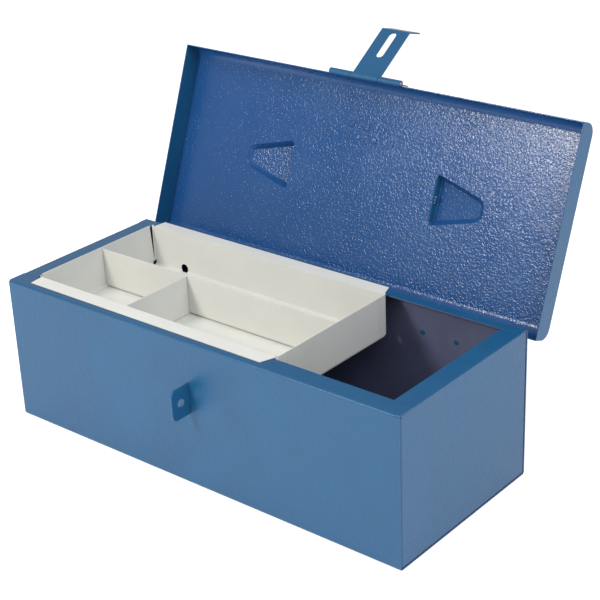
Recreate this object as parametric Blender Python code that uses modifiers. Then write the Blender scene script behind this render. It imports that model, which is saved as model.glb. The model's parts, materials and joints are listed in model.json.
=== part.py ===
"""Sheet-steel toolbox with a lift-out tray.

A chest-shaped box of folded sheet, a cap lid on two butt hinges, a slotted hasp over a
padlock staple, a carrying handle whose feet turn in two pockets pressed out of the lid, and
a divided tray that rests on the rims and slides along them. The lid stands open on its stop.

Frame: metres, X along the box, Y to the back, Z up, origin in the middle of the underside.
The lid, hasp and handle are drawn shut, and empties on their axes turn them to the rest pose.
"""

import math

import bmesh
import bpy
from mathutils import Matrix, Vector

# ---- body -------------------------------------------------------------------------------
BODY_LENGTH = 0.500
BODY_DEPTH = 0.206
BODY_HEIGHT = 0.158
BODY_SHEET = 0.0010
BODY_BEND = 0.0025
RIM_FRONT = 0.0215
RIM_BACK = 0.0134
RIM_END = 0.0209
RIM_END_INNER_BEND = 0.0003
CORNER_RELIEF = 0.0016

# ---- lid --------------------------------------------------------------------------------
LID_SHEET = 0.0010
LID_GAP = 0.0015
LID_SKIRT = 0.0225
LID_OVERLAP = 0.0130
LID_BEND = 0.0120
LID_OPEN_DEG = 111.0

# ---- pockets for the handle, pressed out of the lid -------------------------------------
POCKET_WALL_X = 0.0930
POCKET_LENGTH = 0.0615
POCKET_WIDTH = 0.0545
POCKET_TAPER = 0.2700
POCKET_CORNER_RADIUS = 0.0040
POCKET_NOSE_RADIUS = 0.0110
POCKET_HEIGHT = 0.0095
POCKET_NOSE_HEIGHT = 0.0030
POCKET_SLOPE = 0.0030
POCKET_WALL_SLOPE = 0.0008
POCKET_BEND = 0.0010

# ---- carrying handle --------------------------------------------------------------------
HANDLE_ROD_RADIUS = 0.0030
HANDLE_LEG_CLEAR = 0.0075
HANDLE_REACH = 0.0450
HANDLE_FOOT_IN = 0.0032
HANDLE_BEND = 0.0090
HANDLE_PLAY = 0.0005
HANDLE_HOLE_PLAY = 0.0004

# ---- butt hinges on the back ------------------------------------------------------------
HINGE_X = 0.1500
HINGE_LENGTH = 0.0600
HINGE_LEAF = 0.0012
HINGE_BARREL_RADIUS = 0.0033
HINGE_PIN_RADIUS = 0.0016
HINGE_AXIS_BACK = 0.0055
HINGE_AXIS_BELOW_SKIRT = 0.0045
HINGE_BODY_LEAF_DROP = 0.0310
HINGE_LID_LEAF_RISE = 0.0095
HINGE_MIDDLE = 0.0200
HINGE_TOE_WIDTH = 0.0140

# ---- rivets -----------------------------------------------------------------------------
RIVET_RADIUS = 0.0015
RIVET_HEAD_RADIUS = 0.0028
RIVET_HEAD_HEIGHT = 0.0013
RIVET_TAIL_HEIGHT = 0.0005
HINGE_RIVET_X = 0.0200

# ---- hasp -------------------------------------------------------------------------------
HASP_BASE_LENGTH = 0.0900
HASP_LEAF = 0.0012
HASP_BARREL_RADIUS = 0.0034
HASP_PIN_RADIUS = 0.0016
HASP_AXIS_FRONT = 0.0044
HASP_AXIS_BELOW_SKIRT = 0.0038
HASP_RIVET_X = 0.0320
TONGUE_WIDTH = 0.0350
TONGUE_SHEET = 0.0015
TONGUE_LENGTH = 0.0648
TONGUE_LIP = 0.0186
TONGUE_LIP_DEG = 48.0
TONGUE_SLOT_START = 0.0270
TONGUE_SLOT_END = 0.0615
TONGUE_SLOT_WIDTH = 0.0088
TONGUE_SWUNG_DEG = 125.5

# ---- padlock staple ---------------------------------------------------------------------
STAPLE_SHEET = 0.0025
STAPLE_PROUD = 0.0240
STAPLE_END_PLAY = 0.0010
STAPLE_CORNER = 0.0060
STAPLE_EYE_RADIUS = 0.0045
STAPLE_EYE_OUT = 0.0118
STAPLE_FOOT = 0.0140

# ---- tray -------------------------------------------------------------------------------
TRAY_LENGTH = 0.3250
TRAY_SHEET = 0.0008
TRAY_SIDE_PLAY = 0.0015
TRAY_DEPTH = 0.0455
TRAY_END_RISE = 0.0022
TRAY_FLANGE = 0.0155
TRAY_LEFT_CHAMFER = 0.0018
TRAY_RIGHT_CHAMFER = 0.0055
TRAY_CORNER = 0.0035
TRAY_FLOOR_BEND = 0.0030
TRAY_START_PLAY = 0.0008
TRAY_CORNER_NOTCH = 0.0060
TRAY_LEFT_FLAP = 0.0012
TRAY_RIGHT_FLAP = 0.0125
TRAY_LEFT_SPLIT = 0.0034
TRAY_RIGHT_SPLIT = 0.0008
TRAY_HOLE_RADIUS = 0.0052
TRAY_HOLE_X = 0.0470
TRAY_HOLE_Z = 0.0050
TRAY_HOLE_INTO_FLOOR = 0.0020
DIVIDER_SHEET = 0.0008
DIVIDER_BEND = 0.0030
DIVIDER_FOOT = 0.0100
DIVIDER_HEIGHT = 0.0440
LONG_DIVIDER_FROM_FRONT = 0.0905
CROSS_DIVIDER_FROM_LEFT = 0.1255
CROSS_DIVIDER_DROP = 0.0010

# ---- play between pieces that touch -----------------------------------------------------
GAP = 0.0003
HOLE_PLAY = 0.0003
BARREL_PLAY = 0.0004
OVERCUT = 0.0050

# ---- places worked out from the sizes above ---------------------------------------------
HALF_LENGTH = BODY_LENGTH / 2
HALF_DEPTH = BODY_DEPTH / 2
LID_REACH = LID_GAP + LID_SHEET
LID_HALF_LENGTH = HALF_LENGTH + LID_REACH
LID_HALF_DEPTH = HALF_DEPTH + LID_REACH
SKIRT_EDGE_Z = BODY_HEIGHT - LID_OVERLAP
LID_TOP_Z = SKIRT_EDGE_Z + LID_SKIRT
HINGE_AXIS_Y = HALF_DEPTH + HINGE_AXIS_BACK
HINGE_AXIS_Z = SKIRT_EDGE_Z - HINGE_AXIS_BELOW_SKIRT
HASP_AXIS_Y = -HALF_DEPTH - HASP_AXIS_FRONT
HASP_AXIS_Z = SKIRT_EDGE_Z - HASP_AXIS_BELOW_SKIRT
HANDLE_AXIS_Z = LID_TOP_Z + HANDLE_ROD_RADIUS + HANDLE_PLAY
HANDLE_HANG_DEG = LID_OPEN_DEG - 180.0
HANDLE_LEG_X = POCKET_WALL_X - HANDLE_LEG_CLEAR
HANDLE_FOOT_X = POCKET_WALL_X + HANDLE_FOOT_IN
TRAY_LEFT = -HALF_LENGTH + RIM_END + TRAY_START_PLAY
TRAY_RIGHT = TRAY_LEFT + TRAY_LENGTH
TRAY_FRONT = -HALF_DEPTH + RIM_FRONT + TRAY_SIDE_PLAY
TRAY_BACK = HALF_DEPTH - RIM_BACK - TRAY_SIDE_PLAY
FLANGE_Z = BODY_HEIGHT + GAP
TRAY_TOP = FLANGE_Z + TRAY_END_RISE
TRAY_FLOOR_Z = FLANGE_Z + TRAY_SHEET - TRAY_DEPTH
DIVIDER_Z = TRAY_FLOOR_Z + TRAY_SHEET + GAP
LONG_DIVIDER_Y = TRAY_FRONT + LONG_DIVIDER_FROM_FRONT
CROSS_DIVIDER_X = TRAY_LEFT + CROSS_DIVIDER_FROM_LEFT

BLUE = (0.035, 0.110, 0.260)
CREAM = (0.600, 0.600, 0.560)


# ---- scene and small helpers ------------------------------------------------------------

def clear_scene():
    for thing in list(bpy.data.objects):
        bpy.data.objects.remove(thing, do_unlink=True)


def new_collection(name):
    collection = bpy.data.collections.new(name)
    bpy.context.scene.collection.children.link(collection)
    return collection


def material(name, colour, metallic, roughness):
    paint = bpy.data.materials.new(name)
    paint.use_nodes = True
    shader = paint.node_tree.nodes["Principled BSDF"]
    shader.inputs["Base Color"].default_value = (*colour, 1.0)
    shader.inputs["Metallic"].default_value = metallic
    shader.inputs["Roughness"].default_value = roughness
    return paint


def solid(name, bm, paint, smooth_deg=30.0):
    """Turn a bmesh into one named object of the toolbox."""
    bmesh.ops.recalc_face_normals(bm, faces=bm.faces)
    mesh = bpy.data.meshes.new(name)
    bm.to_mesh(mesh)
    bm.free()
    mesh.materials.append(paint)
    mesh.shade_smooth()
    mesh.set_sharp_from_angle(angle=math.radians(smooth_deg))
    obj = bpy.data.objects.new(name, mesh)
    PARTS.objects.link(obj)
    return obj


def cutter(name, bm):
    bmesh.ops.recalc_face_normals(bm, faces=bm.faces)
    mesh = bpy.data.meshes.new(name)
    bm.to_mesh(mesh)
    bm.free()
    obj = bpy.data.objects.new(name, mesh)
    obj.display_type = "WIRE"
    obj.hide_render = True
    CUTTERS.objects.link(obj)
    return obj


def combine(obj, tool, operation):
    """Boolean with a helper that stays in the cutters' collection."""
    step = obj.modifiers.new(tool.name, "BOOLEAN")
    step.operation = operation
    step.solver = "EXACT"
    step.object = tool


def cut(obj, bm, name):
    combine(obj, cutter(name, bm), "DIFFERENCE")


def join(obj, bm, name):
    combine(obj, cutter(name, bm), "UNION")


def block(low, high):
    """A box between two corners."""
    bm = bmesh.new()
    bmesh.ops.create_cube(bm, size=1.0)
    low, high = Vector(low), Vector(high)
    size = high - low
    bmesh.ops.scale(bm, vec=size, verts=bm.verts)
    bmesh.ops.translate(bm, vec=(low + high) / 2, verts=bm.verts)
    return bm


ALONG = {
    "X": Matrix.Rotation(math.radians(90), 4, "Y"),
    "Y": Matrix.Rotation(math.radians(-90), 4, "X"),
    "Z": Matrix.Identity(4),
}


def rod(axis, centre, radius, length, end_radius=None, segments=20):
    """A cylinder or cone about its centre; end_radius is the far end's."""
    bm = bmesh.new()
    far = radius if end_radius is None else end_radius
    bmesh.ops.create_cone(bm, cap_ends=True, segments=segments, radius1=radius, radius2=far,
                          depth=length)
    bmesh.ops.transform(bm, matrix=Matrix.Translation(centre) @ ALONG[axis], verts=bm.verts)
    return bm


def prism(points, axis, start, end):
    """An outline drawn in the plane across an axis and drawn out along it.

    The outline's two numbers are (y, z) across X, (x, z) across Y and (x, y) across Z.
    """
    place = {
        "X": lambda a, b: (start, a, b),
        "Y": lambda a, b: (a, start, b),
        "Z": lambda a, b: (a, b, start),
    }[axis]
    step = {"X": (end - start, 0, 0), "Y": (0, end - start, 0), "Z": (0, 0, end - start)}[axis]
    bm = bmesh.new()
    face = bm.faces.new([bm.verts.new(place(a, b)) for a, b in points])
    grown = bmesh.ops.extrude_face_region(bm, geom=[face])
    moved = [item for item in grown["geom"] if isinstance(item, bmesh.types.BMVert)]
    bmesh.ops.translate(bm, vec=step, verts=moved)
    return bm


def rounded(corners, segments=4):
    """A closed outline from (a, b, radius) corners, with each corner an arc."""
    points = []
    count = len(corners)
    for index, (a, b, radius) in enumerate(corners):
        here = Vector((a, b))
        if radius <= 0:
            points.append((a, b))
            continue
        before = (Vector(corners[index - 1][:2]) - here).normalized()
        after = (Vector(corners[(index + 1) % count][:2]) - here).normalized()
        half = before.angle(after) / 2
        centre = here + (before + after).normalized() * (radius / math.sin(half))
        first = here + before * (radius / math.tan(half)) - centre
        last = here + after * (radius / math.tan(half)) - centre
        turn = first.angle_signed(last)
        for step in range(segments + 1):
            share = -turn * step / segments
            points.append(tuple(centre + Matrix.Rotation(share, 2) @ first))
    return points


def folded(name, profile, start, end, bend, sheet, paint, segments=3):
    """A sheet folded along X: a (y, z) profile, bent on a radius and thickened inward."""
    bm = bmesh.new()
    near = [bm.verts.new((start, y, z)) for y, z in profile]
    rail = [bm.edges.new(pair) for pair in zip(near, near[1:])]
    grown = bmesh.ops.extrude_edge_only(bm, edges=rail)
    moved = [item for item in grown["geom"] if isinstance(item, bmesh.types.BMVert)]
    bmesh.ops.translate(bm, vec=(end - start, 0, 0), verts=moved)
    loop = zip(profile, profile[1:] + profile[:1])
    area = sum(a[0] * b[1] - b[0] * a[1] for a, b in loop)
    outward = Vector((0, *(Vector(profile[1]) - Vector(profile[0])))).cross((area, 0, 0))
    bmesh.ops.recalc_face_normals(bm, faces=bm.faces)
    bm.normal_update()
    if near[0].link_faces[0].normal.dot(outward) < 0:
        bmesh.ops.reverse_faces(bm, faces=bm.faces)
    folds = [edge for edge in bm.edges if len(edge.link_faces) == 2]
    if bend > 0:
        bmesh.ops.bevel(bm, geom=folds, offset=bend, segments=segments, profile=0.5,
                        affect="EDGES", clamp_overlap=True)
    mesh = bpy.data.meshes.new(name)
    bm.to_mesh(mesh)
    bm.free()
    mesh.materials.append(paint)
    mesh.shade_smooth()
    obj = bpy.data.objects.new(name, mesh)
    PARTS.objects.link(obj)
    thicken(obj, sheet)
    return obj


def thicken(obj, sheet):
    wall = obj.modifiers.new("sheet", "SOLIDIFY")
    wall.thickness = sheet
    wall.offset = -1.0
    wall.use_even_offset = True


def axis_empty(name, place, parent=None):
    """An empty on a joint's axis, at its drawn (shut) place."""
    empty = bpy.data.objects.new(name, None)
    PARTS.objects.link(empty)
    shut = Matrix.Translation(place)
    SHUT[name] = shut
    if parent is None:
        empty.location = place
    else:
        empty.parent = parent
        empty.matrix_parent_inverse = SHUT[parent.name].inverted()
        empty.location = place
    return empty


def hang_on(empty, *pieces):
    """Hang pieces, with the helpers that shape them, on a joint's empty."""
    for piece in pieces:
        helpers = [step.object for step in piece.modifiers if step.type == "BOOLEAN"]
        for thing in [piece, *helpers]:
            thing.parent = empty
            thing.matrix_parent_inverse = SHUT[empty.name].inverted()


# ---- body -------------------------------------------------------------------------------

def make_body_shell(paint):
    front, back = -HALF_DEPTH, HALF_DEPTH
    profile = [
        (front + RIM_FRONT, BODY_HEIGHT),
        (front, BODY_HEIGHT),
        (front, 0),
        (back, 0),
        (back, BODY_HEIGHT),
        (back - RIM_BACK, BODY_HEIGHT),
    ]
    shell = folded("body_shell", profile, -HALF_LENGTH, HALF_LENGTH, BODY_BEND, BODY_SHEET, paint)
    half_slit = STAPLE_SHEET / 2 + GAP
    low, high = staple_root()
    slit = block((-half_slit, front - OVERCUT, low - GAP),
                 (half_slit, front + BODY_SHEET + GAP, high + GAP))
    cut(shell, slit, "staple_slit")
    for side in (-1, 1):
        for x in (-HINGE_RIVET_X, HINGE_RIVET_X):
            hole = rod("Y", (side * HINGE_X + x, back, body_rivet_z()), RIVET_RADIUS + HOLE_PLAY,
                       2 * OVERCUT)
            cut(shell, hole, "shell_rivet_hole")
        for y in (front, back):
            relief = rod("X", (side * HALF_LENGTH, y, BODY_HEIGHT), CORNER_RELIEF, 2 * OVERCUT)
            cut(shell, relief, "shell_corner_relief")
    return shell


def make_end_panel(name, side, paint):
    """An end wall: a pan with flanges inside the shell and the rim flange on top."""
    inset = BODY_SHEET + GAP
    outer = side * HALF_LENGTH
    inner = side * (HALF_LENGTH - RIM_END)
    bm = block((min(outer, inner), -HALF_DEPTH + inset, inset),
               (max(outer, inner), HALF_DEPTH - inset, BODY_HEIGHT))
    mouth = [face for face in bm.faces if face.normal.x * side < -0.5]
    bmesh.ops.delete(bm, geom=mouth, context="FACES")
    folds = [edge for edge in bm.edges if len(edge.link_faces) == 2]
    top = [edge for edge in folds if min(v.co.z for v in edge.verts) > BODY_HEIGHT - GAP]
    low = [edge for edge in folds if edge not in top]
    bmesh.ops.bevel(bm, geom=low, offset=BODY_BEND, segments=3, profile=0.5, affect="EDGES",
                    clamp_overlap=True)
    top = [edge for edge in bm.edges if len(edge.link_faces) == 2
           and min(v.co.z for v in edge.verts) > BODY_HEIGHT - GAP
           and abs(edge.link_faces[0].normal.dot(edge.link_faces[1].normal)) < 0.5]
    bmesh.ops.bevel(bm, geom=top, offset=BODY_SHEET + RIM_END_INNER_BEND, segments=3,
                    profile=0.5, affect="EDGES", clamp_overlap=True)
    panel = solid(name, bm, paint)
    thicken(panel, BODY_SHEET)
    clearance = BODY_BEND + 2 * GAP
    for way, rim in ((-1, RIM_FRONT), (1, RIM_BACK)):
        under = BODY_HEIGHT - BODY_SHEET - GAP
        outline = [
            (way * (HALF_DEPTH + OVERCUT), BODY_HEIGHT - clearance),
            (way * (HALF_DEPTH - clearance), BODY_HEIGHT - clearance),
            (way * (HALF_DEPTH - clearance), under),
            (way * (HALF_DEPTH - rim - GAP), under),
            (way * (HALF_DEPTH - rim - GAP), BODY_HEIGHT + OVERCUT),
            (way * (HALF_DEPTH + OVERCUT), BODY_HEIGHT + OVERCUT),
        ]
        notch = prism(outline, "X", min(outer, inner) - OVERCUT, max(outer, inner) + OVERCUT)
        cut(panel, notch, name + "_rim_notch")
    for y in (-HALF_DEPTH, HALF_DEPTH):
        relief = rod("X", (outer, y, BODY_HEIGHT), CORNER_RELIEF, 2 * OVERCUT)
        cut(panel, relief, name + "_corner_relief")
    return panel


def staple_root():
    """Lowest and highest point of the staple, set by the shut tongue's slot."""
    high = HASP_AXIS_Z - TONGUE_SLOT_START - STAPLE_END_PLAY
    low = HASP_AXIS_Z - TONGUE_SLOT_END + STAPLE_END_PLAY
    return low, high


def make_staple(paint):
    low, high = staple_root()
    front = -HALF_DEPTH
    inside = front + BODY_SHEET + GAP
    outline = rounded([
        (inside, low, 0),
        (inside, high, 0),
        (front - STAPLE_PROUD, high, STAPLE_CORNER),
        (front - STAPLE_PROUD, low, STAPLE_CORNER),
    ])
    half = STAPLE_SHEET / 2
    staple = solid("padlock_staple", prism(outline, "X", -half, half), paint)
    foot = block((-half, inside, low), (STAPLE_FOOT, inside + STAPLE_SHEET / 2, high))
    join(staple, foot, "staple_foot")
    eye = rod("X", (0, front - STAPLE_EYE_OUT, (low + high) / 2), STAPLE_EYE_RADIUS, 2 * OVERCUT)
    cut(staple, eye, "staple_eye")
    return staple


# ---- hinges -----------------------------------------------------------------------------

def body_rivet_z():
    return HINGE_AXIS_Z - HINGE_BODY_LEAF_DROP / 2 - HINGE_BARREL_RADIUS


def lid_rivet_z():
    return SKIRT_EDGE_Z + HINGE_LID_LEAF_RISE / 2


def make_hinge(side, plate_paint, pin_paint):
    """Body leaf, lid leaf and pin of one hinge. The lid leaf's toe stops the open lid."""
    word = {-1: "left", 1: "right"}[side]
    centre_x = side * HINGE_X
    half = HINGE_LENGTH / 2
    middle = HINGE_MIDDLE / 2
    axis = (centre_x, HINGE_AXIS_Y, HINGE_AXIS_Z)
    bore = HINGE_PIN_RADIUS + HOLE_PLAY
    wall = HALF_DEPTH + GAP

    leaf_top = HINGE_AXIS_Z - HINGE_BARREL_RADIUS - HINGE_LEAF
    leaf_low = HINGE_AXIS_Z - HINGE_BODY_LEAF_DROP
    profile = [
        (wall, leaf_low),
        (wall + HINGE_LEAF, leaf_low),
        (wall + HINGE_LEAF, leaf_top - HINGE_LEAF),
        (HINGE_AXIS_Y + HINGE_PIN_RADIUS, HINGE_AXIS_Z - HINGE_BARREL_RADIUS + HINGE_LEAF / 2),
        (HINGE_AXIS_Y - HINGE_PIN_RADIUS, HINGE_AXIS_Z - HINGE_BARREL_RADIUS + HINGE_LEAF / 2),
        (wall, leaf_top),
    ]
    body_leaf = solid(f"hinge_{word}_body_leaf",
                      prism(profile, "X", centre_x - half, centre_x + half), plate_paint)
    toe_sweep = HINGE_AXIS_BACK + BARREL_PLAY
    window = block((centre_x - middle - BARREL_PLAY, wall - OVERCUT, HINGE_AXIS_Z - toe_sweep),
                   (centre_x + middle + BARREL_PLAY, HINGE_AXIS_Y + OVERCUT,
                    HINGE_AXIS_Z + OVERCUT))
    cut(body_leaf, window, f"{word}_leaf_window")
    for way in (-1, 1):
        length = half - middle - BARREL_PLAY
        knuckle_x = centre_x + way * (half - length / 2)
        knuckle = rod("X", (knuckle_x, *axis[1:]), HINGE_BARREL_RADIUS, length)
        join(body_leaf, knuckle, f"{word}_body_knuckle")
    cut(body_leaf, rod("X", axis, bore, HINGE_LENGTH + OVERCUT), f"{word}_body_bore")
    for x in (-HINGE_RIVET_X, HINGE_RIVET_X):
        hole = rod("Y", (centre_x + x, wall, body_rivet_z()), RIVET_RADIUS + HOLE_PLAY,
                   2 * OVERCUT)
        cut(body_leaf, hole, f"{word}_body_leaf_hole")

    skirt = LID_HALF_DEPTH + GAP
    leaf = block((centre_x - half, skirt, SKIRT_EDGE_Z),
                 (centre_x + half, skirt + HINGE_LEAF, SKIRT_EDGE_Z + HINGE_LID_LEAF_RISE))
    lid_leaf = solid(f"hinge_{word}_lid_leaf", leaf, plate_paint)
    neck = block((centre_x - middle, skirt, HINGE_AXIS_Z),
                 (centre_x + middle, skirt + HINGE_LEAF, SKIRT_EDGE_Z + HINGE_LEAF))
    join(lid_leaf, neck, f"{word}_lid_neck")
    knuckle = rod("X", axis, HINGE_BARREL_RADIUS, HINGE_MIDDLE)
    join(lid_leaf, knuckle, f"{word}_lid_knuckle")
    toe = block((centre_x - HINGE_TOE_WIDTH / 2, -HINGE_LEAF / 2, 0),
                (centre_x + HINGE_TOE_WIDTH / 2, HINGE_LEAF / 2, HINGE_AXIS_BACK - GAP))
    turn = Matrix.Rotation(math.radians(LID_OPEN_DEG + 90.0), 4, "X")
    bmesh.ops.transform(toe, matrix=Matrix.Translation((0, *axis[1:])) @ turn, verts=toe.verts)
    join(lid_leaf, toe, f"{word}_lid_toe")
    cut(lid_leaf, rod("X", axis, bore, HINGE_LENGTH), f"{word}_lid_bore")
    for x in (-HINGE_RIVET_X, HINGE_RIVET_X):
        hole = rod("Y", (centre_x + x, skirt, lid_rivet_z()), RIVET_RADIUS + HOLE_PLAY,
                   2 * OVERCUT)
        cut(lid_leaf, hole, f"{word}_lid_leaf_hole")

    pin = solid(f"hinge_{word}_pin", rod("X", axis, HINGE_PIN_RADIUS, HINGE_LENGTH), pin_paint)
    return body_leaf, lid_leaf, pin


def make_rivet(name, x, plate_y, z, grip, outward, paint):
    """A rivet along Y: head on the outside, flat tail on the inside of a grip."""
    reach = grip + 2 * GAP
    shank_centre = plate_y - outward * grip / 2
    rivet = solid(name, rod("Y", (x, shank_centre, z), RIVET_RADIUS, reach + GAP, segments=16),
                  paint)
    ends = ((outward, "head", RIVET_HEAD_HEIGHT), (-outward, "tail", RIVET_TAIL_HEIGHT))
    for way, end_name, height in ends:
        near, far = RIVET_HEAD_RADIUS, RIVET_HEAD_RADIUS * 0.6
        start, end = (near, far) if way > 0 else (far, near)
        centre_y = shank_centre + way * (reach + height) / 2
        head = rod("Y", (x, centre_y, z), start, height, end_radius=end, segments=16)
        join(rivet, head, f"{name}_{end_name}")
    return rivet


# ---- lid --------------------------------------------------------------------------------

def pocket_outline(side, inset, wall_inset):
    """Pocket plan on the lid: a straight wall and two arms that meet in a round nose."""
    lean = math.hypot(1.0, POCKET_TAPER)
    wall = POCKET_WALL_X + wall_inset
    nose = POCKET_WALL_X + POCKET_LENGTH - inset
    half = POCKET_WIDTH / 2 - inset * lean - wall_inset * POCKET_TAPER
    nose_half = half - (nose - wall) * POCKET_TAPER
    corner = max(POCKET_CORNER_RADIUS - inset, POCKET_BEND)
    round_nose = POCKET_NOSE_RADIUS - inset
    corners = [
        (side * wall, -half, corner),
        (side * nose, -nose_half, round_nose),
        (side * nose, nose_half, round_nose),
        (side * wall, half, corner),
    ]
    return rounded(corners)


def pocket_form(side, sheet, bottom):
    """A pressed pocket: deep at its straight wall, shallow at its nose, with soft edges.

    With a sheet's thickness it is the hollow inside, open downwards.
    """
    foot = LID_TOP_Z - sheet
    near, far = POCKET_WALL_X, POCKET_WALL_X + POCKET_LENGTH
    fall = (POCKET_NOSE_HEIGHT - POCKET_HEIGHT) / (far - near)
    rings = [
        (0.0, sheet - POCKET_BEND, sheet - POCKET_BEND, 0.0),
        (POCKET_BEND, sheet, sheet, 0.0),
        (-POCKET_BEND, sheet + POCKET_SLOPE, sheet + POCKET_WALL_SLOPE, 1.0),
        (0.0, sheet + POCKET_SLOPE + POCKET_BEND, sheet + POCKET_WALL_SLOPE + POCKET_BEND, 1.0),
    ]
    bm = bmesh.new()
    loops = []
    if bottom < foot:
        outline = pocket_outline(side, *rings[0][1:3])
        loops.append([bm.verts.new((x, y, bottom)) for x, y in outline])
    for lift, inset, wall_inset, share in rings:
        outline = pocket_outline(side, inset, wall_inset)
        loops.append([bm.verts.new((x, y, foot + lift
                                    + share * (POCKET_HEIGHT + fall * (side * x - near))))
                      for x, y in outline])
    if bottom >= foot:
        for vert in loops[0]:
            vert.co.z = bottom
    bm.faces.new(loops[0])
    bm.faces.new(loops[-1])
    for lower, upper in zip(loops, loops[1:]):
        for low_pair, high_pair in zip(zip(lower, lower[1:] + lower[:1]),
                                       zip(upper, upper[1:] + upper[:1])):
            bm.faces.new((*low_pair, high_pair[1], high_pair[0]))
    return bm


def make_lid_panel(paint):
    inner_half = LID_HALF_LENGTH - LID_SHEET - GAP
    profile = [
        (-LID_HALF_DEPTH, SKIRT_EDGE_Z),
        (-LID_HALF_DEPTH, LID_TOP_Z),
        (LID_HALF_DEPTH, LID_TOP_Z),
        (LID_HALF_DEPTH, SKIRT_EDGE_Z),
    ]
    panel = folded("lid_panel", profile, -inner_half, inner_half, LID_BEND, LID_SHEET, paint, 6)
    under = LID_TOP_Z - LID_SHEET
    for side, word in ((-1, "left"), (1, "right")):
        join(panel, pocket_form(side, 0.0, under + LID_SHEET / 2), f"{word}_pocket")
        cut(panel, pocket_form(side, LID_SHEET, under - OVERCUT), f"{word}_pocket_hollow")
        foot_hole = rod("X", (side * POCKET_WALL_X, 0, HANDLE_AXIS_Z),
                        HANDLE_ROD_RADIUS + HANDLE_HOLE_PLAY, 2 * OVERCUT)
        cut(panel, foot_hole, f"{word}_handle_foot_hole")
        for x in (-HINGE_RIVET_X, HINGE_RIVET_X):
            hole = rod("Y", (side * HINGE_X + x, LID_HALF_DEPTH, lid_rivet_z()),
                       RIVET_RADIUS + HOLE_PLAY, 2 * OVERCUT)
            cut(panel, hole, "panel_hinge_rivet_hole")
        hole = rod("Y", (side * HASP_RIVET_X, -LID_HALF_DEPTH, lid_rivet_z()),
                   RIVET_RADIUS + HOLE_PLAY, 2 * OVERCUT)
        cut(panel, hole, "panel_hasp_rivet_hole")
    return panel


def make_lid_end(name, side, paint):
    """End skirt of the lid: a plate with the panel's bent outline."""
    outline = rounded([
        (-LID_HALF_DEPTH, SKIRT_EDGE_Z, 0),
        (-LID_HALF_DEPTH, LID_TOP_Z, LID_BEND),
        (LID_HALF_DEPTH, LID_TOP_Z, LID_BEND),
        (LID_HALF_DEPTH, SKIRT_EDGE_Z, 0),
    ], segments=6)
    outer = side * LID_HALF_LENGTH
    return solid(name, prism(outline, "X", outer - side * LID_SHEET, outer), paint)


# ---- hasp -------------------------------------------------------------------------------

def make_hasp_base(paint):
    """Leaf on the lid's front skirt with a long knuckle at each side of the tongue."""
    half = HASP_BASE_LENGTH / 2
    skirt = -LID_HALF_DEPTH - GAP
    leaf = block((-half, skirt - HASP_LEAF, SKIRT_EDGE_Z),
                 (half, skirt, SKIRT_EDGE_Z + HINGE_LID_LEAF_RISE))
    base = solid("hasp_base", leaf, paint)
    inner = TONGUE_WIDTH / 2 + BARREL_PLAY
    length = half - inner
    for side, word in ((-1, "left"), (1, "right")):
        centre_x = side * (half - length / 2)
        neck = block((centre_x - length / 2, skirt - HASP_LEAF, HASP_AXIS_Z),
                     (centre_x + length / 2, skirt, SKIRT_EDGE_Z + HASP_LEAF))
        join(base, neck, f"hasp_{word}_neck")
        knuckle = rod("X", (centre_x, HASP_AXIS_Y, HASP_AXIS_Z), HASP_BARREL_RADIUS, length)
        join(base, knuckle, f"hasp_{word}_knuckle")
        hole = rod("Y", (side * HASP_RIVET_X, skirt, lid_rivet_z()), RIVET_RADIUS + HOLE_PLAY,
                   2 * OVERCUT)
        cut(base, hole, f"hasp_{word}_rivet_hole")
    bore = rod("X", (0, HASP_AXIS_Y, HASP_AXIS_Z), HASP_PIN_RADIUS + HOLE_PLAY,
               HASP_BASE_LENGTH + OVERCUT)
    cut(base, bore, "hasp_base_bore")
    return base


def make_hasp_tongue(paint):
    """Slotted strap hanging from the pin, its lower end turned out as a finger lip."""
    half = TONGUE_WIDTH / 2
    thick = TONGUE_SHEET / 2
    bend = math.radians(TONGUE_LIP_DEG)
    end_z = HASP_AXIS_Z - TONGUE_LENGTH
    out = Vector((-math.sin(bend), -math.cos(bend)))
    across = Vector((-out.y, out.x))
    tip = Vector((HASP_AXIS_Y, end_z)) + out * TONGUE_LIP
    spread = thick * math.tan(bend / 2)
    profile = [
        (HASP_AXIS_Y + thick, HASP_AXIS_Z),
        (HASP_AXIS_Y - thick, HASP_AXIS_Z),
        (HASP_AXIS_Y - thick, end_z + spread),
        tuple(tip - across * thick),
        tuple(tip + across * thick),
        (HASP_AXIS_Y + thick, end_z - spread),
    ]
    tongue = solid("hasp_tongue", prism(profile, "X", -half, half), paint)
    join(tongue, rod("X", (0, HASP_AXIS_Y, HASP_AXIS_Z), HASP_BARREL_RADIUS, TONGUE_WIDTH),
         "tongue_knuckle")
    cut(tongue, rod("X", (0, HASP_AXIS_Y, HASP_AXIS_Z), HASP_PIN_RADIUS + HOLE_PLAY,
                    TONGUE_WIDTH + OVERCUT), "tongue_bore")
    slot_half = TONGUE_SLOT_WIDTH / 2
    high = HASP_AXIS_Z - TONGUE_SLOT_START
    low = HASP_AXIS_Z - TONGUE_SLOT_END
    outline = rounded([
        (-slot_half, low, slot_half * 0.98),
        (-slot_half, high, slot_half * 0.98),
        (slot_half, high, slot_half * 0.98),
        (slot_half, low, slot_half * 0.98),
    ])
    slot = prism(outline, "Y", HASP_AXIS_Y - OVERCUT, HASP_AXIS_Y + OVERCUT)
    cut(tongue, slot, "tongue_slot")
    return tongue


# ---- handle -----------------------------------------------------------------------------

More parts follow.
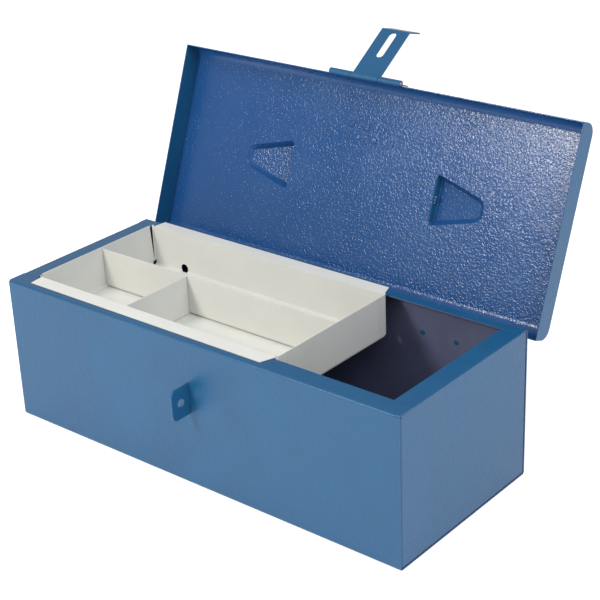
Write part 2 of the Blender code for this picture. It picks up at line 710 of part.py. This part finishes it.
def make_handle(paint):
    """A round rod: grip, two legs, and feet turned out into the pockets."""
    corners = [
        (-HANDLE_FOOT_X, 0, 0),
        (-HANDLE_LEG_X, 0, HANDLE_BEND * 0.5),
        (-HANDLE_LEG_X, HANDLE_REACH, HANDLE_BEND),
        (HANDLE_LEG_X, HANDLE_REACH, HANDLE_BEND),
        (HANDLE_LEG_X, 0, HANDLE_BEND * 0.5),
        (HANDLE_FOOT_X, 0, 0),
    ]
    route = rounded(corners)
    data = bpy.data.curves.new("carry_handle_rod", "CURVE")
    data.dimensions = "3D"
    data.bevel_depth = HANDLE_ROD_RADIUS
    data.bevel_resolution = 3
    data.use_fill_caps = True
    spline = data.splines.new("POLY")
    spline.points.add(len(route) - 1)
    for point, (x, reach) in zip(spline.points, route):
        point.co = (x, 0, HANDLE_AXIS_Z + reach, 1)
    data.materials.append(paint)
    handle = bpy.data.objects.new("carry_handle", data)
    PARTS.objects.link(handle)
    return handle


# ---- tray -------------------------------------------------------------------------------

def make_tray_pan(paint):
    """Open pan split beside each end wall, with a notch at each low corner and two flanges."""
    bm = block((TRAY_LEFT, TRAY_FRONT, TRAY_FLOOR_Z), (TRAY_RIGHT, TRAY_BACK, TRAY_TOP))
    mouth = [face for face in bm.faces if face.normal.z > 0.5]
    bmesh.ops.delete(bm, geom=mouth, context="FACES")
    upright = [edge for edge in bm.edges
               if abs(edge.verts[0].co.z - edge.verts[1].co.z) > TRAY_DEPTH / 2]
    bmesh.ops.bevel(bm, geom=upright, offset=TRAY_CORNER, segments=3, profile=0.5,
                    affect="EDGES", clamp_overlap=True)
    bottom = [edge for edge in bm.edges
              if all(abs(v.co.z - TRAY_FLOOR_Z) < GAP for v in edge.verts)
              and len(edge.link_faces) == 2]
    bmesh.ops.bevel(bm, geom=bottom, offset=TRAY_FLOOR_BEND, segments=2, profile=0.5,
                    affect="EDGES", clamp_overlap=True)
    pan = solid("tray_pan", bm, paint)
    thicken(pan, TRAY_SHEET)
    left, right = TRAY_LEFT + TRAY_CORNER, TRAY_RIGHT - TRAY_CORNER
    for word, wall_y, way in (("front", TRAY_FRONT, -1), ("back", TRAY_BACK, 1)):
        outer_y = wall_y + way * TRAY_FLANGE
        inner_y = wall_y - way * TRAY_SHEET / 2
        outline = [
            (left, inner_y),
            (right, inner_y),
            (right, wall_y),
            (right - TRAY_RIGHT_CHAMFER, outer_y),
            (left + TRAY_LEFT_CHAMFER, outer_y),
            (left, wall_y),
        ]
        flange = prism(outline, "Z", FLANGE_Z, FLANGE_Z + TRAY_SHEET)
        join(pan, flange, f"tray_{word}_flange")
        trim = block((left - GAP, wall_y - OVERCUT, FLANGE_Z + TRAY_SHEET),
                     (right + GAP, wall_y + OVERCUT, TRAY_TOP + OVERCUT))
        cut(pan, trim, f"tray_{word}_trim")
    make_corner_splits(pan)
    make_corner_notches(pan)
    hole_start = TRAY_BACK - TRAY_HOLE_INTO_FLOOR
    hole = rod("Y", (TRAY_LEFT + TRAY_HOLE_X, hole_start + OVERCUT, TRAY_FLOOR_Z + TRAY_HOLE_Z),
               TRAY_HOLE_RADIUS, 2 * OVERCUT, segments=24)
    cut(pan, hole, "tray_hanging_hole")
    return pan


def make_corner_splits(pan):
    """A tapering slit beside each end wall, wide at the top."""
    low_width = 0.0006
    low_z = TRAY_FLOOR_Z + 2 * TRAY_FLOOR_BEND
    ends = ((TRAY_LEFT, -1, TRAY_LEFT_FLAP, TRAY_LEFT_SPLIT),
            (TRAY_RIGHT, 1, TRAY_RIGHT_FLAP, TRAY_RIGHT_SPLIT))
    for x, side, flap, top_width in ends:
        for y, way in ((TRAY_FRONT + flap, 1), (TRAY_BACK - flap, -1)):
            outline = [
                (y, low_z),
                (y + way * low_width, low_z),
                (y + way * top_width, TRAY_TOP + GAP),
                (y, TRAY_TOP + GAP),
            ]
            start = x - OVERCUT if side < 0 else x - 2 * TRAY_SHEET
            end = x + 2 * TRAY_SHEET if side < 0 else x + OVERCUT
            cut(pan, prism(outline, "X", start, end), "tray_corner_split")


def make_corner_notches(pan):
    """Each low corner of the blank is cut off slantwise, which leaves a small opening."""
    for x, side in ((TRAY_LEFT, -1), (TRAY_RIGHT, 1)):
        for y, way in ((TRAY_FRONT, -1), (TRAY_BACK, 1)):
            outline = [
                (y + way * OVERCUT, TRAY_FLOOR_Z - OVERCUT),
                (y + way * OVERCUT, TRAY_FLOOR_Z + TRAY_CORNER_NOTCH + OVERCUT),
                (y - way * (TRAY_CORNER_NOTCH + OVERCUT), TRAY_FLOOR_Z - OVERCUT),
            ]
            inner = x - side * TRAY_CORNER
            outer = x + side * OVERCUT
            notch = prism(outline, "X", min(inner, outer), max(inner, outer))
            cut(pan, notch, "tray_corner_notch")


def make_long_divider(paint):
    """Upright sheet along the tray with its foot turned to the back."""
    inset = TRAY_SHEET + GAP
    profile = [
        (LONG_DIVIDER_Y, DIVIDER_Z + DIVIDER_HEIGHT),
        (LONG_DIVIDER_Y, DIVIDER_Z),
        (LONG_DIVIDER_Y + DIVIDER_FOOT, DIVIDER_Z),
    ]
    ends = TRAY_FLOOR_BEND + inset
    divider = folded("tray_long_divider", profile, TRAY_LEFT + inset, TRAY_RIGHT - inset,
                     DIVIDER_BEND, DIVIDER_SHEET, paint)
    for side, x in (("left", TRAY_LEFT), ("right", TRAY_RIGHT)):
        corner = block((x - ends, LONG_DIVIDER_Y - OVERCUT, DIVIDER_Z - OVERCUT),
                       (x + ends, LONG_DIVIDER_Y + DIVIDER_FOOT + OVERCUT,
                        DIVIDER_Z + TRAY_FLOOR_BEND + GAP))
        cut(divider, corner, f"long_divider_{side}_clearance")
    return divider


def make_cross_divider(paint):
    """Short upright sheet between the front wall and the long divider, foot to the left."""
    inset = TRAY_SHEET + GAP
    front = TRAY_FRONT + inset
    back = LONG_DIVIDER_Y - GAP
    height = DIVIDER_HEIGHT - CROSS_DIVIDER_DROP
    sheet = block((CROSS_DIVIDER_X - DIVIDER_SHEET, front, DIVIDER_Z),
                  (CROSS_DIVIDER_X, back, DIVIDER_Z + height))
    divider = solid("tray_cross_divider", sheet, paint)
    foot = block((CROSS_DIVIDER_X - DIVIDER_FOOT, front + TRAY_FLOOR_BEND, DIVIDER_Z),
                 (CROSS_DIVIDER_X - DIVIDER_SHEET / 2, back, DIVIDER_Z + DIVIDER_SHEET))
    join(divider, foot, "cross_divider_foot")
    corner = block((CROSS_DIVIDER_X - OVERCUT, front - OVERCUT, DIVIDER_Z - OVERCUT),
                   (CROSS_DIVIDER_X + OVERCUT, front + TRAY_FLOOR_BEND, DIVIDER_Z + TRAY_FLOOR_BEND))
    cut(divider, corner, "cross_divider_clearance")
    return divider


# ---- assembly ---------------------------------------------------------------------------

def build():
    blue = material("blue_enamel", BLUE, 0.0, 0.35)
    cream = material("cream_enamel", CREAM, 0.0, 0.45)
    steel = material("plated_steel", (0.55, 0.56, 0.58), 1.0, 0.35)

    make_body_shell(blue)
    make_end_panel("end_panel_left", -1, blue)
    make_end_panel("end_panel_right", 1, blue)
    make_staple(blue)

    lid_axis = axis_empty("lid_axis", (0, HINGE_AXIS_Y, HINGE_AXIS_Z))
    hasp_axis = axis_empty("hasp_axis", (0, HASP_AXIS_Y, HASP_AXIS_Z), lid_axis)
    handle_axis = axis_empty("handle_axis", (0, 0, HANDLE_AXIS_Z), lid_axis)

    for side, word in ((-1, "left"), (1, "right")):
        body_leaf, lid_leaf, pin = make_hinge(side, blue, steel)
        hang_on(lid_axis, lid_leaf)
        body_grip = BODY_SHEET + GAP + HINGE_LEAF
        lid_grip = LID_SHEET + GAP + HINGE_LEAF
        for number, x in ((1, -HINGE_RIVET_X), (2, HINGE_RIVET_X)):
            make_rivet(f"hinge_{word}_body_rivet_{number}", side * HINGE_X + x,
                       HALF_DEPTH + GAP + HINGE_LEAF, body_rivet_z(), body_grip, 1, blue)
            rivet = make_rivet(f"hinge_{word}_lid_rivet_{number}", side * HINGE_X + x,
                               LID_HALF_DEPTH + GAP + HINGE_LEAF, lid_rivet_z(), lid_grip, 1, blue)
            hang_on(lid_axis, rivet)
        hasp_grip = LID_SHEET + GAP + HASP_LEAF
        rivet = make_rivet(f"hasp_rivet_{word}", side * HASP_RIVET_X,
                           -LID_HALF_DEPTH - GAP - HASP_LEAF, lid_rivet_z(), hasp_grip, -1, blue)
        hang_on(lid_axis, rivet)
        hang_on(lid_axis, make_lid_end(f"lid_end_{word}", side, blue))

    hasp_pin = solid("hasp_pin", rod("X", (0, HASP_AXIS_Y, HASP_AXIS_Z), HASP_PIN_RADIUS,
                                     HASP_BASE_LENGTH), steel)
    hang_on(lid_axis, make_lid_panel(blue), make_hasp_base(blue), hasp_pin)
    hang_on(hasp_axis, make_hasp_tongue(blue))
    hang_on(handle_axis, make_handle(blue))

    lid_axis.rotation_euler.x = -math.radians(LID_OPEN_DEG)
    hasp_axis.rotation_euler.x = -math.radians(TONGUE_SWUNG_DEG)
    handle_axis.rotation_euler.x = math.radians(HANDLE_HANG_DEG)

    make_tray_pan(cream)
    make_long_divider(cream)
    make_cross_divider(cream)
    bpy.context.view_layer.update()


SHUT = {}
clear_scene()
PARTS = new_collection("toolbox_with_tray")
CUTTERS = new_collection("cutters")
build()
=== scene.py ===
"""Looks of the enamelled sheet-steel toolbox with its divided tray."""

import json
import math

import bmesh
import bpy
from mathutils import Matrix, Vector


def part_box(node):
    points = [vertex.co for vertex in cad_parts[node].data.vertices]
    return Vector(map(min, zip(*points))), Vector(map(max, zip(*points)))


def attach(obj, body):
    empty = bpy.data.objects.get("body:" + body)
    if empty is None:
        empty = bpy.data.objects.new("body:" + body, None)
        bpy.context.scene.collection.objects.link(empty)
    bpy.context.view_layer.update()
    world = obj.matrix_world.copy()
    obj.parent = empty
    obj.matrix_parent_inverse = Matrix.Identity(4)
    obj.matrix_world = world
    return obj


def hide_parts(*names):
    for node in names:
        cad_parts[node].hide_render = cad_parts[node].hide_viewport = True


MM = 0.001

# Camera, in metres: above the bench, in front of the box's right end.
EYE = Vector((0.92572, -1.02433, 0.79915))
AIM = Vector((0.05804, 0.0, 0.17697))
EYE_ROLL_DEG = -2.38
LENS_MM = 92.25
SENSOR_MM = 36.0

# Edges of folded sheet and strap are never sharp: paint and tooling leave this radius.
EDGE_RADIUS = 0.3 * MM
EDGE_SEGMENTS = 2
EDGE_ANGLE_DEG = 35.0
WELD_DISTANCE = 0.005 * MM
FLAT_WITHIN_DEG = 0.5

# Enamel colours, as sRGB.
OUTSIDE_BLUE = "124A70"
OUTSIDE_BLUE_THIN = "165077"
# The lid's inside blue is painted shade: the outside enamel drawn slightly darker and bluer,
# as it looks when turned from the light.
LID_SHADE_BLUE = "184376"
LID_SHADE_BLUE_THIN = "1B477A"
# The box's inside navy is painted shade: the same blue enamel drawn as a greyer navy, as it
# looks in the shade inside the box.
INSIDE_SHADE_NAVY = "52566F"
INSIDE_SHADE_NAVY_THIN = "5E6480"
TRAY_CREAM = "C9CAC4"
TRAY_CREAM_THIN = "CFCFC8"
ZINC = "A9ACB0"
FLOOR_WHITE = "FFFFFF"
WARM_WHITE = "FFFBF5"
COOL_WHITE = "F3F6FF"

# Stoved enamel: how far its gloss wanders, and the grit baked into the coat. Real grit is
# finer than this, and is drawn this coarse so that it shows.
ENAMEL_IOR = 1.42
GLOSS_BELOW = 0.03
GLOSS_ABOVE = 0.05
GRIT_MM = 0.7
GRIT_HEIGHT_MM = 0.02

# Zinc plate: the size of its stains, and its roughness from bright to dull.
ZINC_STAIN_MM = 4
ZINC_BRIGHT = 0.28
ZINC_DULL = 0.50

# Studio: an even pale room and two softboxes. Places in metres, powers in watts.
ROOM_STRENGTH = 0.64
FLOOR_GLOW = 0.35
FLOOR_ROUGHNESS = 0.9
FLOOR_SIZE = 8.0
SOFTBOXES = (
    {"name": "front_left", "place": (-0.44, -1.12, 0.93), "target": (0.22, 0.19, 0.30),
     "side": 0.30, "power": 13, "tint": WARM_WHITE},
    {"name": "right_top", "place": (1.2, -0.3, 1.6), "target": (0.15, 0, 0.1),
     "side": 1.2, "power": 22, "tint": COOL_WHITE},
)

# The pressed marks: two rows of plain bars near the lid's front edge, in the lid's own
# frame when shut (x along, y back from the middle of the box).
MARK_HEIGHT = 0.7 * MM
MARK_BEVEL = 0.5 * MM
MARK_ROWS = (
    {"y": -57 * MM, "depth": 6 * MM, "widths": (7, 3.5, 7, 7, 3.5, 7)},
    {"y": -45 * MM, "depth": 6 * MM, "widths": (3.5, 9, 3.5, 9, 9, 3.5)},
)
MARK_START_X = -27 * MM
MARK_SPACE = 4.5 * MM

# A face takes the painted-shade inside colour when it leans inward by more than these
# shares.
LID_FACE_LEAN = 0.25
BOX_FACE_LEAN = 0.5


def linear(hex_colour):
    """An sRGB hex colour as the linear RGBA that Blender's nodes take."""
    channels = [int(hex_colour[i:i + 2], 16) / 255 for i in (0, 2, 4)]
    return tuple(c / 12.92 if c <= 0.04045 else ((c + 0.055) / 1.055) ** 2.4
                 for c in channels) + (1.0,)


def node(tree, kind, settings=None, inputs=None):
    """Add one shader node. Inputs are values, or the sockets that feed them."""
    made = tree.nodes.new(kind)
    for key, value in (settings or {}).items():
        setattr(made, key, value)
    for key, value in (inputs or {}).items():
        if isinstance(value, bpy.types.NodeSocket):
            tree.links.new(value, made.inputs[key])
        else:
            made.inputs[key].default_value = value
    return made


def new_material(name):
    """An empty node material and its shader."""
    material = bpy.data.materials.new(name)
    material.use_nodes = True
    tree = material.node_tree
    tree.nodes.clear()
    shader = node(tree, "ShaderNodeBsdfPrincipled")
    output = node(tree, "ShaderNodeOutputMaterial")
    tree.links.new(shader.outputs["BSDF"], output.inputs["Surface"])
    return material, tree, shader


def enamel(name, body_hex, thin_hex, roughness, peel_mm, peel_height_mm, mottle_mm):
    """Stoved enamel: glossy paint over steel, with the orange peel a spray gun leaves.

    The eye gets soft broken reflections from the worm-like peel, grit in the coat, and slow
    changes of tone where the coat is thinner.
    """
    material, tree, shader = new_material(name)
    place = node(tree, "ShaderNodeTexCoord").outputs["Object"]
    tone = node(tree, "ShaderNodeTexNoise", inputs={
        "Vector": place, "Scale": 1 / (mottle_mm * MM), "Detail": 4.0, "Roughness": 0.6})
    share = node(tree, "ShaderNodeMapRange", inputs={
        "Value": tone.outputs["Fac"], "From Min": 0.3, "From Max": 0.7})
    colour = node(tree, "ShaderNodeMix", {"data_type": "RGBA"}, {
        0: share.outputs["Result"], 6: linear(body_hex), 7: linear(thin_hex)})
    tree.links.new(colour.outputs[2], shader.inputs["Base Color"])
    peel = node(tree, "ShaderNodeTexNoise", inputs={
        "Vector": place, "Scale": 1 / (peel_mm * MM), "Detail": 1.5, "Roughness": 0.5,
        "Distortion": 0.6})
    worms = node(tree, "ShaderNodeMapRange", {"interpolation_type": "SMOOTHSTEP"}, {
        "Value": peel.outputs["Fac"], "From Min": 0.35, "From Max": 0.65})
    relief = node(tree, "ShaderNodeBump", inputs={
        "Height": worms.outputs["Result"], "Distance": peel_height_mm * MM, "Strength": 1.0})
    grit = node(tree, "ShaderNodeTexNoise", inputs={
        "Vector": place, "Scale": 1 / (GRIT_MM * MM), "Detail": 2.0})
    coat = node(tree, "ShaderNodeBump", inputs={
        "Height": grit.outputs["Fac"], "Distance": GRIT_HEIGHT_MM * MM, "Strength": 1.0,
        "Normal": relief.outputs["Normal"]})
    tree.links.new(coat.outputs["Normal"], shader.inputs["Normal"])
    gloss = node(tree, "ShaderNodeMapRange", inputs={
        "Value": tone.outputs["Fac"], "From Min": 0.3, "From Max": 0.7,
        "To Min": roughness - GLOSS_BELOW, "To Max": roughness + GLOSS_ABOVE})
    tree.links.new(gloss.outputs["Result"], shader.inputs["Roughness"])
    shader.inputs["IOR"].default_value = ENAMEL_IOR
    return material


def zinc_plate():
    """Zinc-plated steel: a cool grey metal.

    The eye gets a blurred reflection that turns from bright to dull in patches, as handling
    leaves it.
    """
    material, tree, shader = new_material("zinc_plated_steel")
    place = node(tree, "ShaderNodeTexCoord").outputs["Object"]
    stain = node(tree, "ShaderNodeTexNoise", inputs={
        "Vector": place, "Scale": 1 / (ZINC_STAIN_MM * MM), "Detail": 4.0})
    rough = node(tree, "ShaderNodeMapRange", inputs={
        "Value": stain.outputs["Fac"], "To Min": ZINC_BRIGHT, "To Max": ZINC_DULL})
    tree.links.new(rough.outputs["Result"], shader.inputs["Roughness"])
    shader.inputs["Base Color"].default_value = linear(ZINC)
    shader.inputs["Metallic"].default_value = 1.0
    return material


def faces_inward(name, face):
    """Whether a face of the body or the lid looks into the closed box."""
    centre = face.calc_center_median()
    if name.startswith("lid_"):
        return face.normal.dot(LID_INWARD) > LID_FACE_LEAN
    lean = BOX_FACE_LEAN
    end_wall = face.normal.x * centre.x < 0 and abs(face.normal.x) > lean
    long_wall = face.normal.y * centre.y < 0 and abs(face.normal.y) > lean
    floor = face.normal.z > lean and centre.z < RIM_Z / 2
    under_rim = face.normal.z < -lean and centre.z > RIM_Z / 2
    return end_wall or long_wall or floor or under_rim


def finished_copy(name, paints, body):
    """A copy of a CAD node with softened edges and smooth bends, standing in for it."""
    source = frame["nodes"][name]
    piece = source.copy()
    piece.data = source.data.copy()
    piece.name = name + "_finish"
    piece.parent = None
    bpy.context.scene.collection.objects.link(piece)
    piece.data.materials.clear()
    for paint in paints:
        piece.data.materials.append(paint)
    bm = bmesh.new()
    bm.from_mesh(piece.data)
    bmesh.ops.remove_doubles(bm, verts=bm.verts, dist=WELD_DISTANCE)
    bmesh.ops.dissolve_limit(bm, angle_limit=math.radians(FLAT_WITHIN_DEG),
                             verts=bm.verts, edges=bm.edges)
    # Faces looking inward take the second paint, the painted-shade inside colour.
    if len(paints) > 1:
        for face in bm.faces:
            face.material_index = int(faces_inward(name, face))
    bm.to_mesh(piece.data)
    bm.free()
    piece.data.shade_smooth()
    soften = piece.modifiers.new("painted edges", "BEVEL")
    soften.width = EDGE_RADIUS
    soften.segments = EDGE_SEGMENTS
    soften.limit_method = "ANGLE"
    soften.angle_limit = math.radians(EDGE_ANGLE_DEG)
    flat = piece.modifiers.new("flat sheet stays flat", "WEIGHTED_NORMAL")
    flat.weight = 100
    flat.keep_sharp = True
    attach(piece, body)
    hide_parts(name)


def pressed_marks(paint):
    """Two rows of plain raised bars pressed in the lid, seen from inside."""
    bm = bmesh.new()
    for row in MARK_ROWS:
        x = MARK_START_X
        for width in row["widths"]:
            bar = bmesh.ops.create_cube(bm, size=1.0)["verts"]
            size = Vector((width * MM, row["depth"], 2 * MARK_HEIGHT))
            bmesh.ops.scale(bm, vec=size, verts=bar)
            centre = Vector((x + width * MM / 2, row["y"], 0))
            bmesh.ops.translate(bm, vec=centre, verts=bar)
            x += width * MM + MARK_SPACE
    bmesh.ops.bevel(bm, geom=list(bm.edges), offset=MARK_BEVEL, segments=3, profile=0.6,
                    affect="EDGES", clamp_overlap=True)
    mesh = bpy.data.meshes.new("pressed_marks")
    bm.to_mesh(mesh)
    bm.free()
    mesh.materials.append(paint)
    mesh.shade_smooth()
    marks = bpy.data.objects.new("pressed_marks", mesh)
    bpy.context.scene.collection.objects.link(marks)
    marks.matrix_world = LID_SHUT_TO_REST @ Matrix.Translation((0, 0, LID_UNDER_Z))
    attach(marks, "lid")


def aim_object(thing, eye, target, roll_deg=0.0):
    """Put a camera or a lamp at a place, looking at a target."""
    turn = (target - eye).to_track_quat("-Z", "Y").to_matrix().to_4x4()
    thing.matrix_world = Matrix.Translation(eye) @ turn @ Matrix.Rotation(
        math.radians(roll_deg), 4, "Z")


def make_camera():
    """The camera, above and in front of the box's right end."""
    data = bpy.data.cameras.new("camera")
    data.lens = LENS_MM
    data.sensor_width = SENSOR_MM
    data.clip_start = 0.05
    data.clip_end = 50.0
    camera = bpy.data.objects.new("camera", data)
    bpy.context.scene.collection.objects.link(camera)
    aim_object(camera, EYE, AIM, EYE_ROLL_DEG)
    bpy.context.scene.camera = camera


def softbox(name, place, target, side, power, tint):
    """A square studio softbox, aimed at a place on the object."""
    data = bpy.data.lights.new(name, "AREA")
    data.shape = "RECTANGLE"
    data.size = side
    data.size_y = side
    data.energy = power
    data.color = linear(tint)[:3]
    lamp = bpy.data.objects.new(name, data)
    bpy.context.scene.collection.objects.link(lamp)
    aim_object(lamp, Vector(place), Vector(target))


def make_studio():
    """A plain pale room and floor, and the softboxes."""
    world = bpy.data.worlds.new("studio")
    bpy.context.scene.world = world
    world.use_nodes = True
    sky = world.node_tree.nodes["Background"]
    sky.inputs["Color"].default_value = linear(FLOOR_WHITE)
    sky.inputs["Strength"].default_value = ROOM_STRENGTH
    for row in SOFTBOXES:
        softbox(**row)

    material, _, shader = new_material("studio_floor")
    shader.inputs["Base Color"].default_value = linear(FLOOR_WHITE)
    shader.inputs["Roughness"].default_value = FLOOR_ROUGHNESS
    shader.inputs["Emission Color"].default_value = linear(FLOOR_WHITE)
    shader.inputs["Emission Strength"].default_value = FLOOR_GLOW
    bm = bmesh.new()
    bmesh.ops.create_grid(bm, x_segments=1, y_segments=1, size=FLOOR_SIZE)
    mesh = bpy.data.meshes.new("floor")
    bm.to_mesh(mesh)
    bm.free()
    mesh.materials.append(material)
    floor = bpy.data.objects.new("floor", mesh)
    bpy.context.scene.collection.objects.link(floor)


def finish_pieces():
    """Paint every piece. Faces inside the box and the lid get painted shade: the blue enamel
    redrawn as it looks in shade.
    """
    outside = enamel("stoved_blue_enamel", OUTSIDE_BLUE, OUTSIDE_BLUE_THIN, roughness=0.34,
                     peel_mm=2.6, peel_height_mm=0.10, mottle_mm=60)
    # Painted shade: the lid's inside is a darker, bluer copy of the outside blue. Its
    # heavier peel is real relief.
    lid_inside_shade = enamel("heavy_peel_shaded_blue_enamel", LID_SHADE_BLUE, LID_SHADE_BLUE_THIN, roughness=0.19,
                        peel_mm=2.4, peel_height_mm=0.12, mottle_mm=60)
    # Painted shade: the box's inside is a greyer navy copy of the blue enamel, as it looks
    # in shade.
    box_inside_shade = enamel("painted_shade_inside_navy", INSIDE_SHADE_NAVY, INSIDE_SHADE_NAVY_THIN,
                        roughness=0.55, peel_mm=2.6, peel_height_mm=0.05, mottle_mm=60)
    cream = enamel("stoved_cream_enamel", TRAY_CREAM, TRAY_CREAM_THIN, roughness=0.42,
                   peel_mm=2.8, peel_height_mm=0.03, mottle_mm=50)
    zinc = zinc_plate()
    paints = {"blue_enamel": [outside], "cream_enamel": [cream], "plated_steel": [zinc]}
    # Faces looking into the box or the lid take a painted-shade colour; the outward faces
    # keep the outside blue.
    shaded_inside_paints = {
        "body_shell": [outside, box_inside_shade],
        "end_panel_left": [outside, box_inside_shade],
        "end_panel_right": [outside, box_inside_shade],
        "lid_panel": [outside, lid_inside_shade],
        "lid_end_left": [outside, lid_inside_shade],
        "lid_end_right": [outside, lid_inside_shade],
    }
    record = frame["record"]
    slots = {part["node"]: part["material_slot"] for part in record["subparts"]}
    for body, names in record["behaviour"]["bodies"].items():
        for name in names:
            piece_paints = shaded_inside_paints.get(name, paints[slots[name]])
            finished_copy(name, piece_paints, body)
    pressed_marks(lid_inside_shade)


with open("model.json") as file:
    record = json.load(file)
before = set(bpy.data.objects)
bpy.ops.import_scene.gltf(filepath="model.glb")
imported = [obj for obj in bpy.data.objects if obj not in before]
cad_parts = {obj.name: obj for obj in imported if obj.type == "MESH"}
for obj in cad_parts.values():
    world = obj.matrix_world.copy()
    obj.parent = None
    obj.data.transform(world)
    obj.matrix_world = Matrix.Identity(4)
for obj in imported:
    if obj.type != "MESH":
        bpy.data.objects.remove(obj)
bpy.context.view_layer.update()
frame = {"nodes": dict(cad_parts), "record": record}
lid_joint = frame["record"]["behaviour"]["joints"][0]
LID_OPEN = Matrix.Rotation(-math.radians(lid_joint["range_deg"][1]), 4, "X")
LID_AXIS = Matrix.Translation(lid_joint["pos_m"])
LID_SHUT_TO_REST = LID_AXIS @ LID_OPEN @ LID_AXIS.inverted()
LID_INWARD = (LID_OPEN @ Vector((0, 0, -1, 0))).to_3d()
# Underside of the lid's top sheet when shut.
LID_UNDER_Z = 166.5 * MM
RIM_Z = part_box("body_shell")[1][2]
bpy.context.scene.view_settings.view_transform = "Standard"
make_camera()
make_studio()
finish_pieces()
